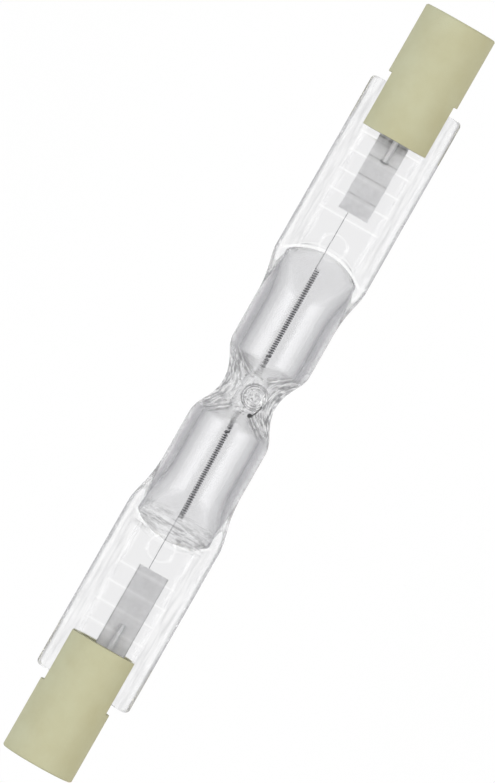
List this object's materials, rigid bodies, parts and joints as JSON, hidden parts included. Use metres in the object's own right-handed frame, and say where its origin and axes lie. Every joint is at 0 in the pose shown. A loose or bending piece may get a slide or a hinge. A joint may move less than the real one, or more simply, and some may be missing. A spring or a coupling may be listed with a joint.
{
  "type": "linear halogen bulb",
  "caption": "Double-ended linear halogen bulb: quartz tube with a waist and a sealed tip, coiled filament, flat press seals with foils, and ceramic caps with recessed contacts.",
  "frame": {"origin": "middle of the bulb's axis, between its two ends", "axes": "+X along the bulb towards the right end, +Z square to the flat press seals on the side where the exhaust tip stands, +Y across the width of the seals"},
  "size_m": [0.0782, 0.0098, 0.008],
  "materials": {
    "quartz": "clear",
    "tungsten": "satin",
    "foil": "satin",
    "lead_wire": "satin",
    "cap_ceramic": "matt",
    "contact_metal": "satin",
    "cement": "matt"
  },
  "bodies": {
    "root": {"quartz_envelope": "quartz", "filament": "tungsten", "foil_right": "foil", "outer_lead_right": "lead_wire", "ceramic_cap_right": "cap_ceramic", "contact_right": "contact_metal", "cement_right": "cement", "foil_left": "foil", "outer_lead_left": "lead_wire", "ceramic_cap_left": "cap_ceramic", "contact_left": "contact_metal", "cement_left": "cement"}
  },
  "joints": []
}
